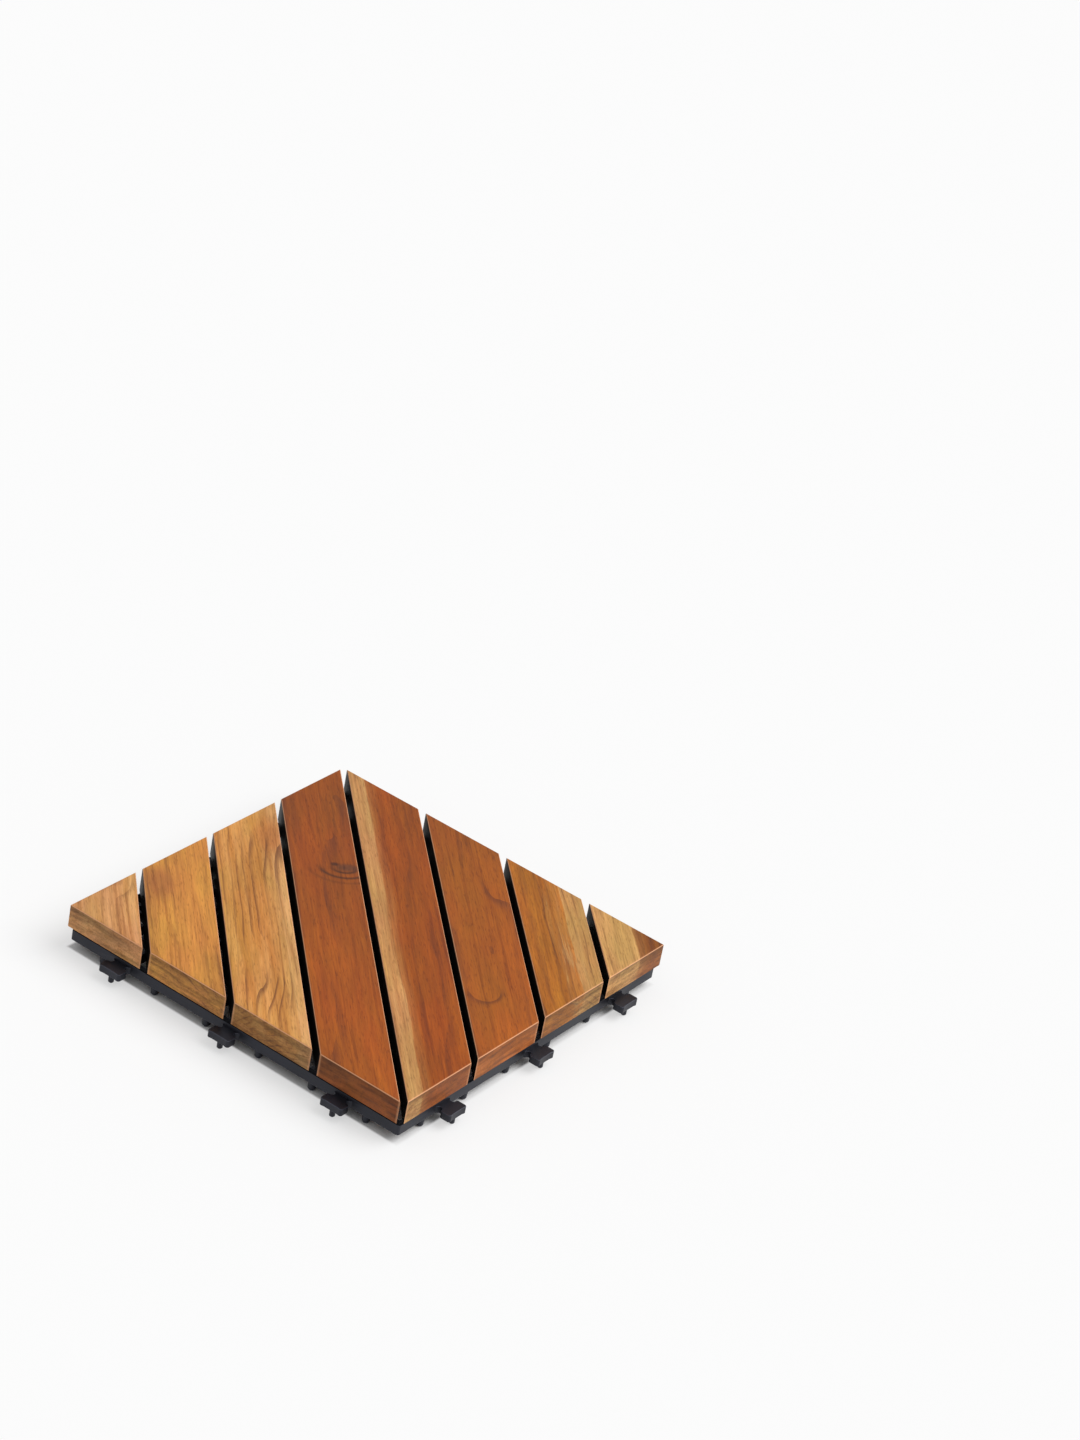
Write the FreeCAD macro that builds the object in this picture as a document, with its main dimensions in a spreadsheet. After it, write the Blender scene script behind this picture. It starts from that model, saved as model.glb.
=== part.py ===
import FreeCAD, Part
import math
import os
import Sketcher

# Interlocking deck tile: diagonal wooden slats, screwed from below to one square moulded grid.
# The grid stands on round feet, with butterfly tabs along two edges and sockets for them along the others.
# The origin is the centre of the square at the level of the ground. +Z is up. Sizes are in millimetres.
# The tabs are on the edges that face -Y and +X. The slats run from the +X -Y corner to the -X +Y corner.

os.makedirs("parts", exist_ok=True)
doc = FreeCAD.newDocument("deck_tile")

# Driving dimensions: name, size, meaning
SIZES = [
    ("tile_side", 300.0, "side of the square of wood"),
    ("corner_slat", 47.6, "height of the triangle of a corner slat, from its long edge to the corner"),
    ("slat_gap", 5.0, "drainage gap between two slats"),
    ("slat_thickness", 18.0, "thickness of the slats"),
    ("slat_arris", 1.0, "radius of the eased top edges of a slat"),
    ("rim_inset", 2.0, "how far the rim stands in from the edge of the wood"),
    ("rim_height", 10.5, "height of the rim, from its lower edge to the wood"),
    ("rim_wall", 2.5, "thickness of the rim"),
    ("rim_corner", 2.0, "radius of the outer corners of the rim"),
    ("rib_pitch", 23.75, "spacing of the square grid of ribs"),
    ("rib_wall", 2.4, "thickness of a rib of the grid"),
    ("rib_drop", 1.0, "drainage space between the ribs along X and the wood"),
    ("rib_height", 7.0, "height of the ribs along X"),
    ("cross_rib_drop", 0.5, "drainage space between the ribs along Y and the wood"),
    ("cross_rib_height", 8.0, "height of the ribs along Y"),
    ("edge_cell", 12.0, "least free width between the last rib and the rim"),
    ("seat_wall", 3.0, "thickness of the diagonal rib that each slat lies on"),
    ("seat_height", 6.0, "height of the diagonal ribs"),
    ("foot_height", 6.5, "height of the feet below the rim"),
    ("foot_radius", 3.1, "radius of a foot, from the rim up"),
    ("foot_draft", 0.5, "how much thinner a foot is at the ground"),
    ("foot_bevel", 0.9, "width of the bevel round the end of a foot or pin"),
    ("foot_setback", 0.3, "how far the feet at the rim stand in from its face"),
    ("tab_pitch", 100.0, "spacing of the tabs and of the sockets"),
    ("tab_margin", 30.0, "least distance from a tab to the corner of the tile"),
    ("tab_thickness", 5.5, "thickness of a tab"),
    ("tab_reach", 14.0, "length of a tab beyond the rim"),
    ("tab_root", 16.0, "width of a tab where it leaves the rim"),
    ("tab_neck", 11.0, "width of the neck of a tab"),
    ("tab_neck_length", 4.8, "distance from the rim to the back of the wings"),
    ("tab_head", 19.0, "width of a tab across its wings"),
    ("tab_hollow", 0.9, "depth of the hollow in the end of a tab"),
    ("tab_round", 1.9, "radius of the corners of the wings"),
    ("tab_pin_radius", 2.1, "radius of the pin under a tab"),
    ("tab_pin_inset", 4.5, "distance from the end of a tab to the axis of its pin"),
    ("socket_clearance", 0.4, "free space all round a tab in a socket"),
    ("socket_wall", 2.2, "wall round the pocket of a socket"),
    ("joint_gap", 0.3, "how far a socket stands in from the edge of the wood"),
    ("screw_shank", 1.75, "radius of the shank of a screw"),
    ("screw_head", 3.5, "radius of the head of a screw"),
    ("screw_head_height", 2.3, "height of the head of a screw"),
    ("screw_head_bevel", 0.9, "width of the bevel round the head of a screw"),
    ("screw_length", 19.0, "length of a screw beyond its head"),
    ("screw_point", 3.5, "length of the point of a screw"),
    ("screw_cross", 3.8, "length of each slot of the cross in the head of a screw"),
    ("screw_cross_width", 0.9, "width of each slot of the cross"),
    ("screw_cross_depth", 1.3, "depth of the cross"),
    ("screw_clearance", 0.1, "free space round the shank of a screw and beyond its point"),
    ("screw_head_clearance", 0.6, "free space round the head of a screw"),
    ("screw_seat", 7.0, "plastic between the head of a screw and the wood"),
    ("screw_sunk", 0.5, "how deep the head of a screw lies in its boss"),
    ("screw_end_distance", 40.0, "distance from a screw to the end of its slat"),
    ("corner_screw_distance", 22.0, "the same distance on a corner slat"),
    ("boss_wall", 1.8, "wall of the boss round the head of a screw"),
]

sheet = doc.addObject("Spreadsheet::Sheet", "Sizes")
for row, (alias, size, meaning) in enumerate(SIZES, start=1):
    sheet.set(f"A{row}", alias)
    sheet.set(f"B{row}", str(size))
    sheet.set(f"C{row}", meaning)
    sheet.setAlias(f"B{row}", alias)
doc.recompute()

# Places that several pieces share
WOOD_LEVEL = "(Sizes.foot_height + Sizes.rim_height)"
WOOD_EDGE = "(Sizes.tile_side / 2)"
RIM_OUTSIDE = f"({WOOD_EDGE} - Sizes.rim_inset)"
RIM_INSIDE = f"({RIM_OUTSIDE} - Sizes.rim_wall)"
HALF_DIAGONAL = "(Sizes.tile_side / sqrt(2))"
UP = FreeCAD.Vector(0, 0, 1)


def value(expression):
    """The number that an expression gives with the present sizes."""
    return float(sheet.evalExpression(expression))


def place(thing, x, y, z="0", turn=0):
    """Put a thing at x, y, z, given as expressions, turned about the vertical by some degrees."""
    thing.Placement = FreeCAD.Placement(FreeCAD.Vector(0, 0, 0), FreeCAD.Rotation(UP, turn))
    thing.setExpression("Placement.Base.x", x)
    thing.setExpression("Placement.Base.y", y)
    thing.setExpression("Placement.Base.z", z)


def diagonal(across, along):
    """The x and y of a point that lies some way across the slats and some way along them."""
    return f"(({across}) - ({along})) / sqrt(2)", f"(({across}) + ({along})) / sqrt(2)"


def bind(thing, sizes):
    """Bind properties of a thing to expressions."""
    for prop, expression in sizes.items():
        thing.setExpression(prop, expression)


def block(name, length, width, height, x, y, z, turn=0):
    """A rectangular block with one lower corner at x, y, z."""
    box = doc.addObject("Part::Box", name)
    bind(box, {"Length": length, "Width": width, "Height": height})
    place(box, x, y, z, turn)
    return box


def copy_of(form, name, x, y, z="0", turn=0):
    """The same form once more, in another place."""
    link = doc.addObject("App::Link", name)
    link.LinkedObject = form
    place(link, x, y, z, turn)
    return link


def level_sketch(body, name, level="0"):
    """An empty sketch that lies flat in a body at some level."""
    plane = next(item for item in body.Origin.OriginFeatures if item.Role == "XY_Plane")
    sketch = body.newObject("Sketcher::SketchObject", name)
    sketch.AttachmentSupport = (plane, [""])
    sketch.MapMode = "FlatFace"
    sketch.setExpression("AttachmentOffset.Base.z", level)
    return sketch


def pin_point(sketch, curve, point, x, y):
    """Hold a point of a curve of a sketch at x, y, given as expressions."""
    for kind, expression in (("DistanceX", x), ("DistanceY", y)):
        index = sketch.addConstraint(Sketcher.Constraint(kind, -1, 1, curve, point, value(expression)))
        sketch.setExpression(f"Constraints[{index}]", expression)


def outline(body, name, corners, level="0"):
    """A closed outline of straight lines through corners, given as pairs of expressions."""
    sketch = level_sketch(body, name, level)
    points = [FreeCAD.Vector(value(x), value(y), 0) for x, y in corners]
    count = len(points)
    for index in range(count):
        sketch.addGeometry(Part.LineSegment(points[index], points[(index + 1) % count]), False)
    for index in range(count):
        sketch.addConstraint(Sketcher.Constraint("Coincident", index, 2, (index + 1) % count, 1))
    for index, (x, y) in enumerate(corners):
        pin_point(sketch, index, 1, x, y)
    return sketch


def pad(body, name, sketch, height):
    """Raise a solid of some height on a sketch."""
    feature = body.newObject("PartDesign::Pad", name)
    feature.Profile = sketch
    feature.setExpression("Length", height)
    doc.recompute()
    return feature


def pocket_up(body, name, sketch, depth):
    """Cut a sketch's shape out of the solid above it."""
    feature = body.newObject("PartDesign::Pocket", name)
    feature.Profile = sketch
    feature.Reversed = True
    feature.setExpression("Length", depth)
    doc.recompute()
    return feature


def ease_edges(body, name, base, wanted, size, kind="Fillet"):
    """Round or bevel those edges of a feature for which wanted(edge) is true."""
    edges = [f"Edge{index}" for index, edge in enumerate(base.Shape.Edges, start=1) if wanted(edge)]
    eased = body.newObject(f"PartDesign::{kind}", name)
    eased.Base = (base, edges)
    eased.setExpression("Radius" if kind == "Fillet" else "Size", size)
    doc.recompute()
    return eased


def is_at_level(edge, level):
    """Whether an edge lies wholly at one level."""
    return all(abs(vertex.Z - level) < 1e-6 for vertex in edge.Vertexes)


def is_upright_at(edge, x):
    """Whether an edge stands upright at some distance from the middle plane."""
    ends = edge.Vertexes
    if len(ends) != 2 or abs(ends[0].Z - ends[1].Z) < 1e-6:
        return False
    return all(abs(abs(end.X) - x) < 1e-6 for end in ends)


def square_corners(half):
    """The four corners of a square about the origin."""
    return [(f"-{half}", f"-{half}"), (half, f"-{half}"), (half, half), (f"-{half}", half)]


# Layout of the slats, counted outwards from the middle gap on each side of the tile.
# The last one is the corner's triangle, and the others share what it leaves in equal widths.

slats_each_side = 4
long_slats_each_side = 2
full_slats = slats_each_side - 1
full_slats_room = f"({HALF_DIAGONAL} - Sizes.corner_slat - Sizes.slat_gap / 2)"
slat_pitch = f"({full_slats_room} / {full_slats})"
slat_width = f"({slat_pitch} - Sizes.slat_gap)"


def slat_layout(order):
    """Inner edge, outer edge and screw line of a slat, as distances from the middle of the tile."""
    inner = f"(Sizes.slat_gap / 2 + {order} * {slat_pitch})"
    is_corner = order == slats_each_side - 1
    if is_corner:
        return inner, HALF_DIAGONAL, f"({inner} + Sizes.corner_slat / 3)", is_corner
    return inner, f"({inner} + {slat_width})", f"({inner} + {slat_width} / 2)", is_corner


def screw_rows(order):
    """How far along its slat each screw sits from the middle."""
    inner, outer, line, is_corner = slat_layout(order)
    distance = "Sizes.corner_screw_distance" if is_corner else "Sizes.screw_end_distance"
    reach = f"({HALF_DIAGONAL} - {line} - {distance})"
    if order < long_slats_each_side:
        return [f"-{reach}", "0", reach]
    return [f"-{reach}", reach]


# Slats, numbered from the -X -Y corner to the +X +Y corner.
# Each is a straight board cut off at 45 degrees by the edges of the tile, with blind holes for its screws.

def make_slat(number, side, order):
    inner, outer, line, is_corner = slat_layout(order)
    body = doc.addObject("PartDesign::Body", f"slat_{number}")
    near, far = f"{side} * {inner}", f"{side} * {outer}"
    corners = [(near, f"-({HALF_DIAGONAL} - {inner})"), (near, f"{HALF_DIAGONAL} - {inner}")]
    if is_corner:
        corners.append((far, "0"))
    else:
        corners += [(far, f"{HALF_DIAGONAL} - {outer}"), (far, f"-({HALF_DIAGONAL} - {outer})")]
    board = pad(body, f"board_{number}", outline(body, f"plan_{number}", corners), "Sizes.slat_thickness")
    top = value("Sizes.slat_thickness")
    ease_edges(body, f"arris_{number}", board, lambda edge: is_at_level(edge, top), "Sizes.slat_arris")
    holes = level_sketch(body, f"hole_plan_{number}")
    radius = "Sizes.screw_shank + Sizes.screw_clearance"
    for along in screw_rows(order):
        centre = FreeCAD.Vector(value(f"{side} * {line}"), value(along), 0)
        circle = holes.addGeometry(Part.Circle(centre, UP, value(radius)), False)
        index = holes.addConstraint(Sketcher.Constraint("Radius", circle, value(radius)))
        holes.setExpression(f"Constraints[{index}]", radius)
        pin_point(holes, circle, 3, f"{side} * {line}", along)
    depth = "Sizes.screw_length - Sizes.screw_seat + Sizes.screw_clearance"
    pocket_up(body, f"holes_{number}", holes, depth)
    place(body, "0", "0", WOOD_LEVEL, 45)
    return body


slats = []
for side, orders in ((-1, reversed(range(slats_each_side))), (1, range(slats_each_side))):
    for order in orders:
        slats.append(make_slat(len(slats) + 1, side, order))


# Places of the screws: x and y of each

screw_places = []
for side in (-1, 1):
    for order in range(slats_each_side):
        line = slat_layout(order)[2]
        screw_places += [diagonal(f"{side} * {line}", along) for along in screw_rows(order)]


# Screws: pan head with a cross, plain shank and point. The form stands on its head, with the seat at z = 0.

def make_screw_form():
    body = doc.addObject("PartDesign::Body", "screw_form")
    head = body.newObject("PartDesign::AdditiveCylinder", "screw_head")
    bind(head, {"Radius": "Sizes.screw_head", "Height": "Sizes.screw_head_height"})
    place(head, "0", "0", "-Sizes.screw_head_height")
    shank = body.newObject("PartDesign::AdditiveCylinder", "screw_shank")
    bind(shank, {"Radius": "Sizes.screw_shank", "Height": "Sizes.screw_length - Sizes.screw_point"})
    point = body.newObject("PartDesign::AdditiveCone", "screw_point")
    bind(point, {"Radius1": "Sizes.screw_shank", "Height": "Sizes.screw_point"})
    point.Radius2 = 0
    place(point, "0", "0", "Sizes.screw_length - Sizes.screw_point")
    doc.recompute()
    bottom = -value("Sizes.screw_head_height")
    bevel = "Sizes.screw_head_bevel"
    ease_edges(body, "screw_pan", point, lambda edge: is_at_level(edge, bottom), bevel, "Chamfer")
    sizes = ("Sizes.screw_cross", "Sizes.screw_cross_width")
    for name, (length, width) in (("screw_slot_one", sizes), ("screw_slot_two", sizes[::-1])):
        slot = body.newObject("PartDesign::SubtractiveBox", name)
        bind(slot, {"Length": length, "Width": width, "Height": "Sizes.screw_cross_depth"})
        place(slot, f"-{length} / 2", f"-{width} / 2", "-Sizes.screw_head_height")
    doc.recompute()
    return body


screw_form = make_screw_form()
screw_level = f"({WOOD_LEVEL} - Sizes.screw_seat)"
screws = doc.addObject("Part::Compound", "slat_screws")
screws.Links = [
    copy_of(screw_form, f"screw_{number}", x, y, screw_level)
    for number, (x, y) in enumerate(screw_places, start=1)
]


# Base grid: one moulding of rim, ribs, bosses, feet, tabs and sockets

def make_rim():
    body = doc.addObject("PartDesign::Body", "rim")
    plan = outline(body, "rim_plan", square_corners(RIM_OUTSIDE), "Sizes.foot_height")
    slab = pad(body, "rim_slab", plan, "Sizes.rim_height")
    outside = value(RIM_OUTSIDE)
    ease_edges(body, "rim_corners", slab, lambda edge: is_upright_at(edge, outside), "Sizes.rim_corner")
    inside = outline(body, "rim_opening", square_corners(RIM_INSIDE), "Sizes.foot_height")
    pocket_up(body, "rim_hollow", inside, "Sizes.rim_height")
    return body


ribs_each_side = math.floor(value(f"({RIM_INSIDE} - Sizes.edge_cell) / Sizes.rib_pitch"))


def make_ribs():
    """Square grid of ribs, and one diagonal rib under the screw line of each slat, all let into the rim."""
    span = f"({RIM_INSIDE} + Sizes.rim_wall / 2)"
    length = f"2 * {span}"
    level = f"{WOOD_LEVEL} - Sizes.rib_drop - Sizes.rib_height"
    cross_level = f"{WOOD_LEVEL} - Sizes.cross_rib_drop - Sizes.cross_rib_height"
    ribs = []
    for number in range(-ribs_each_side, ribs_each_side + 1):
        side = f"{number} * Sizes.rib_pitch - Sizes.rib_wall / 2"
        ribs.append(block("rib_x", length, "Sizes.rib_wall", "Sizes.rib_height", f"-{span}", side, level))
        ribs.append(
            block("rib_y", "Sizes.rib_wall", length, "Sizes.cross_rib_height", side, f"-{span}", cross_level)
        )
    height = "Sizes.seat_height"
    seat_level = f"{WOOD_LEVEL} - {height}"
    for side in (-1, 1):
        for order in range(slats_each_side):
            line = slat_layout(order)[2]
            length = f"(2 * ({span} * sqrt(2) - {line}) - Sizes.seat_wall)"
            x, y = diagonal(f"{side} * {line} - Sizes.seat_wall / 2", f"-{length} / 2")
            ribs.append(block("seat_rib", "Sizes.seat_wall", length, height, x, y, seat_level, 45))
    return ribs


def make_bosses():
    """A round boss for each screw, which the head of the screw is sunk in."""
    bosses = []
    height = "(Sizes.screw_seat + Sizes.screw_head_height + Sizes.screw_sunk)"
    for x, y in screw_places:
        boss = doc.addObject("Part::Cylinder", "boss")
        radius = "Sizes.screw_head + Sizes.screw_head_clearance + Sizes.boss_wall"
        bind(boss, {"Radius": radius, "Height": height})
        place(boss, x, y, f"{WOOD_LEVEL} - {height}")
        bosses.append(boss)
    return bosses


def make_screw_holes():
    """The holes in the bosses: a shank hole up to the wood, and below it a wider one for the head."""
    holes = []
    for x, y in screw_places:
        shank = doc.addObject("Part::Cylinder", "shank_hole")
        bind(shank, {"Radius": "Sizes.screw_shank + Sizes.screw_clearance", "Height": WOOD_LEVEL})
        place(shank, x, y)
        head = doc.addObject("Part::Cylinder", "head_hole")
        bind(head, {"Radius": "Sizes.screw_head + Sizes.screw_head_clearance", "Height": screw_level})
        place(head, x, y)
        holes += [shank, head]
    return holes


def make_foot_form():
    """A round foot that tapers from the rim's lower edge to the ground, and runs straight up to the wood."""
    body = doc.addObject("PartDesign::Body", "foot_form")
    column = body.newObject("PartDesign::AdditiveCylinder", "foot_column")
    bind(column, {"Radius": "Sizes.foot_radius", "Height": "Sizes.rim_height"})
    place(column, "0", "0", "Sizes.foot_height")
    peg = body.newObject("PartDesign::AdditiveCone", "foot_peg")
    bind(peg, {"Radius1": "Sizes.foot_radius - Sizes.foot_draft", "Radius2": "Sizes.foot_radius"})
    peg.setExpression("Height", "Sizes.foot_height")
    doc.recompute()
    ease_edges(body, "foot_end", peg, lambda edge: is_at_level(edge, 0), "Sizes.foot_bevel", "Chamfer")
    return body


def make_feet():
    """Feet under every second crossing of the ribs, and along the rim at the ribs between, beside the sockets."""
    form = make_foot_form()
    feet = []
    inner = [n for n in range(-ribs_each_side, ribs_each_side + 1) if n % 2 == 0]
    beside = value("Sizes.tab_head / 2 + Sizes.socket_clearance + Sizes.socket_wall + Sizes.foot_radius")
    outer = [
        n for n in range(-ribs_each_side, ribs_each_side + 1)
        if n % 2 == 1 and all(abs(value(f"{n} * Sizes.rib_pitch - {tab}")) > beside for tab in tab_offsets)
    ]
    for row in inner:
        feet += [copy_of(form, "foot", f"{n} * Sizes.rib_pitch", f"{row} * Sizes.rib_pitch") for n in inner]
    at_rim = f"({RIM_OUTSIDE} - Sizes.foot_setback - Sizes.foot_radius)"
    for n in outer:
        place_on_edge = f"{n} * Sizes.rib_pitch"
        for side in ("-", ""):
            feet.append(copy_of(form, "rim_foot", place_on_edge, f"{side}{at_rim}"))
            feet.append(copy_of(form, "rim_foot", f"{side}{at_rim}", place_on_edge))
    return feet


def make_butterfly(name, space):
    """A tab that points to -Y from a rim face at y = 0, made larger all round by some space."""
    body = doc.addObject("PartDesign::Body", name)
    root = f"(Sizes.tab_root / 2 + {space})"
    neck = f"(Sizes.tab_neck / 2 + {space})"
    head = f"(Sizes.tab_head / 2 + {space})"
    back = f"-(Sizes.tab_neck_length - {space})"
    end = f"-(Sizes.tab_reach + {space})"
    hollow = f"-(Sizes.tab_reach - Sizes.tab_hollow + {space})"
    half = [
        (root, "Sizes.rim_wall / 2"),
        (root, "0"),
        (neck, "-Sizes.rim_inset"),
        (neck, back),
        (head, back),
        (head, end),
        (neck, hollow),
    ]
    corners = half + [(f"-{x}", y) for x, y in reversed(half)]
    plan = outline(body, f"{name}_plan", corners[::-1], f"Sizes.foot_height - {space}")
    plate = pad(body, f"{name}_plate", plan, f"Sizes.tab_thickness + 2 * {space}")
    widest = value(head)
    narrowest = value(neck)
    behind = value(back)
    bend = "min(Sizes.tab_round; (Sizes.tab_head - Sizes.tab_neck) / 4.2)"
    wings = ease_edges(
        body, f"{name}_wings", plate, lambda edge: is_upright_at(edge, widest), f"{bend} + {space}"
    )
    ease_edges(
        body,
        f"{name}_throat",
        wings,
        lambda edge: is_upright_at(edge, narrowest) and abs(edge.Vertexes[0].Y - behind) < 1e-6,
        f"{bend} - {space}",
    )
    return body


def make_tab_form():
    """A tab with the round pin that it stands on."""
    body = make_butterfly("tab_form", "0")
    pin = body.newObject("PartDesign::AdditiveCylinder", "tab_pin")
    bind(pin, {"Radius": "Sizes.tab_pin_radius", "Height": "Sizes.foot_height + Sizes.tab_thickness / 2"})
    place(pin, "0", "-(Sizes.tab_reach - Sizes.tab_pin_inset)")
    doc.recompute()
    ease_edges(body, "tab_pin_end", pin, lambda edge: is_at_level(edge, 0), "Sizes.foot_bevel", "Chamfer")
    return body


tabs_each_side = math.floor(value(f"({WOOD_EDGE} - Sizes.tab_margin) / Sizes.tab_pitch"))
tab_offsets = [f"{n} * Sizes.tab_pitch" for n in range(-tabs_each_side, tabs_each_side + 1)]


def make_tabs():
    form = make_tab_form()
    tabs = []
    for offset in tab_offsets:
        tabs.append(copy_of(form, "tab_south", offset, f"-{RIM_OUTSIDE}"))
        tabs.append(copy_of(form, "tab_east", RIM_OUTSIDE, offset, "0", 90))
    return tabs


def make_socket_blocks():
    """Solid blocks let into the rim, which the sockets are cut in."""
    width = "(Sizes.tab_head + 2 * Sizes.socket_clearance + 2 * Sizes.socket_wall)"
    face = f"({WOOD_EDGE} - Sizes.joint_gap)"
    back = f"({WOOD_EDGE} + Sizes.rim_inset - Sizes.tab_reach - Sizes.socket_clearance - Sizes.socket_wall)"
    depth = f"{face} - {back}"
    level = "Sizes.foot_height"
    blocks = []
    for offset in tab_offsets:
        low = f"{offset} - {width} / 2"
        blocks.append(block("socket_north", width, depth, "Sizes.rim_height", low, back, level))
        blocks.append(block("socket_west", depth, width, "Sizes.rim_height", f"-{face}", low, level))
    return blocks


def make_socket_pockets():
    """The space that each tab of a neighbour takes, with clearance, open below and outwards."""
    form = make_butterfly("socket_form", "Sizes.socket_clearance")
    pockets = []
    neighbour_rim = f"({WOOD_EDGE} + Sizes.rim_inset)"
    for offset in tab_offsets:
        pockets.append(copy_of(form, "pocket_north", offset, neighbour_rim))
        pockets.append(copy_of(form, "pocket_west", f"-{neighbour_rim}", offset, "0", 90))
    return pockets


solids = [make_rim()] + make_ribs() + make_bosses() + make_feet() + make_tabs() + make_socket_blocks()
spaces = make_screw_holes() + make_socket_pockets()
moulding = doc.addObject("Part::MultiFuse", "moulding")
moulding.Shapes = solids
moulding.Refine = False
hollows = doc.addObject("Part::MultiFuse", "hollows")
hollows.Shapes = spaces
base = doc.addObject("Part::Cut", "base_grid")
base.Base = moulding
base.Tool = hollows
base.Refine = True


# Check every object, then write one file for each sub-part

doc.recompute()
failed = [item.Name for item in doc.Objects if "Invalid" in item.State or "Error" in item.State]
if failed:
    raise RuntimeError(f"these objects failed: {failed}")

subparts = slats + [base, screws]
for subpart in subparts:
    shape = subpart.Shape
    if shape.isNull() or not shape.isValid():
        raise RuntimeError(f"{subpart.Label} has no valid shape")
    print(f"{subpart.Label}: {len(shape.Solids)} solids, {shape.Volume:.0f} cubic mm, {shape.BoundBox}")

for subpart in subparts:
    subpart.Shape.exportStep(f"parts/{subpart.Label}.step")
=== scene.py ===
import math

import bmesh
import bpy
from mathutils import Matrix, Quaternion, Vector


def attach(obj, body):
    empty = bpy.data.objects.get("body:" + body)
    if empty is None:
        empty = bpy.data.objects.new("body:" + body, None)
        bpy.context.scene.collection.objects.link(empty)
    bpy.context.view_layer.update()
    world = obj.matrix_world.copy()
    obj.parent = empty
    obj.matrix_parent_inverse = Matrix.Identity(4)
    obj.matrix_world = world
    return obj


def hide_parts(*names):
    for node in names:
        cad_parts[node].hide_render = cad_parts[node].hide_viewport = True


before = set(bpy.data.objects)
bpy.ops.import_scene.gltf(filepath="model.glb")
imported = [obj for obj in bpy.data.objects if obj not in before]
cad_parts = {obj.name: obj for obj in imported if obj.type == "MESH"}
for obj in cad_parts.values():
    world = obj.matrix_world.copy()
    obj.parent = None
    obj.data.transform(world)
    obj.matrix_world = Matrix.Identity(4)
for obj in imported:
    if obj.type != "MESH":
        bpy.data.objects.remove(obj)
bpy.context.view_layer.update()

# Base grid
# One moulding in black polypropylene: a rim, a lattice of ribs with feet, and along its edges the tabs
# and sockets that join it to the next tiles. It drops out of a spark-eroded mould, so it has a fine matt
# skin with a slightly bluish sheen. Its corners are rounded and painted paler, as a painted highlight.

MM = 0.001
EDGE_ROUNDING = 0.3 * MM
SAME_POINT = 0.001 * MM
FLAT_ANGLE = math.radians(1)
SHARP_ANGLE = math.radians(35)
SMOOTH_ANGLE = math.radians(20)
# Two edges that meet count as crossing up to this cosine between them, and the rounding may take up this
# share of the crossing edge.
CROSSING = 0.9
ROOM_SHARE = 0.45
# The groove round the rim: its lower edge, the height of its steep ledge, and its back wall.
GROOVE_LEVEL = 14.4 * MM
GROOVE_LEDGE = 0.01 * MM
GROOVE_BACK = 146.7 * MM
RIB_PITCH = 23.75 * MM
CELLS_EACH_SIDE = 6


def room_beside(edge):
    """How much of the full rounding an edge has room for, beside the edges that cross it at its ends."""
    along = (edge.verts[1].co - edge.verts[0].co).normalized()
    crossing = [other.calc_length() for end in edge.verts for other in end.link_edges
                if abs(along.dot((other.verts[1].co - other.verts[0].co).normalized())) < CROSSING]
    return min(1.0, ROOM_SHARE * min(crossing, default=math.inf) / EDGE_ROUNDING)


def cut_along(mesh, point, normal):
    """Cuts all faces that a plane passes through, and keeps both sides."""
    bmesh.ops.bisect_plane(
        mesh, geom=[*mesh.verts, *mesh.edges, *mesh.faces], plane_co=point, plane_no=normal)


def finished_mesh(obj):
    """Replaces an object's mesh by what its modifiers make of it."""
    shape = obj.evaluated_get(bpy.context.evaluated_depsgraph_get())
    obj.data = bpy.data.meshes.new_from_object(shape)
    obj.modifiers.clear()


moulding = bmesh.new()
moulding.from_mesh(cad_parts["base_grid"].data)
bmesh.ops.remove_doubles(moulding, verts=moulding.verts, dist=SAME_POINT)
bmesh.ops.dissolve_limit(moulding, angle_limit=FLAT_ANGLE, verts=moulding.verts, edges=moulding.edges)
# A shallow groove runs round the outside of the rim, right under the wood.
for level in (GROOVE_LEVEL, GROOVE_LEVEL + GROOVE_LEDGE):
    cut_along(moulding, (0, 0, level), (0, 0, 1))
for corner in moulding.verts:
    if corner.co.z > GROOVE_LEVEL + GROOVE_LEDGE / 2:
        corner.co.x = max(-GROOVE_BACK, min(GROOVE_BACK, corner.co.x))
        corner.co.y = max(-GROOVE_BACK, min(GROOVE_BACK, corner.co.y))
# The flat faces are cut midway between the ribs, because the rounding tears faces with many holes.
for order in range(-CELLS_EACH_SIDE, CELLS_EACH_SIDE):
    for axis in (Vector((1, 0, 0)), Vector((0, 1, 0))):
        cut_along(moulding, (order + 0.5) * RIB_PITCH * axis, axis)
rounding = moulding.edges.layers.float.new("bevel_weight_edge")
for edge in moulding.edges:
    if edge.is_manifold and edge.is_convex and edge.calc_face_angle() > SHARP_ANGLE:
        edge[rounding] = room_beside(edge)

base = bpy.data.objects.new("base_moulding", bpy.data.meshes.new("base_moulding"))
moulding.to_mesh(base.data)
moulding.free()
bpy.context.collection.objects.link(base)
bevel = base.modifiers.new("rounding", "BEVEL")
bevel.width = EDGE_ROUNDING
bevel.segments = 2
bevel.limit_method = "WEIGHT"
bevel.use_clamp_overlap = False


def linear(colour):
    """An sRGB hex colour as the linear RGBA that a shader takes."""
    channels = [int(colour[at:at + 2], 16) / 255 for at in (1, 3, 5)]
    return [c / 12.92 if c <= 0.04045 else ((c + 0.055) / 1.055) ** 2.4 for c in channels] + [1]


def new_material(name):
    """An empty node material, and its output node."""
    material = bpy.data.materials.new(name)
    material.use_nodes = True
    material.node_tree.nodes.clear()
    return material, material.node_tree.nodes.new("ShaderNodeOutputMaterial")


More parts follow.
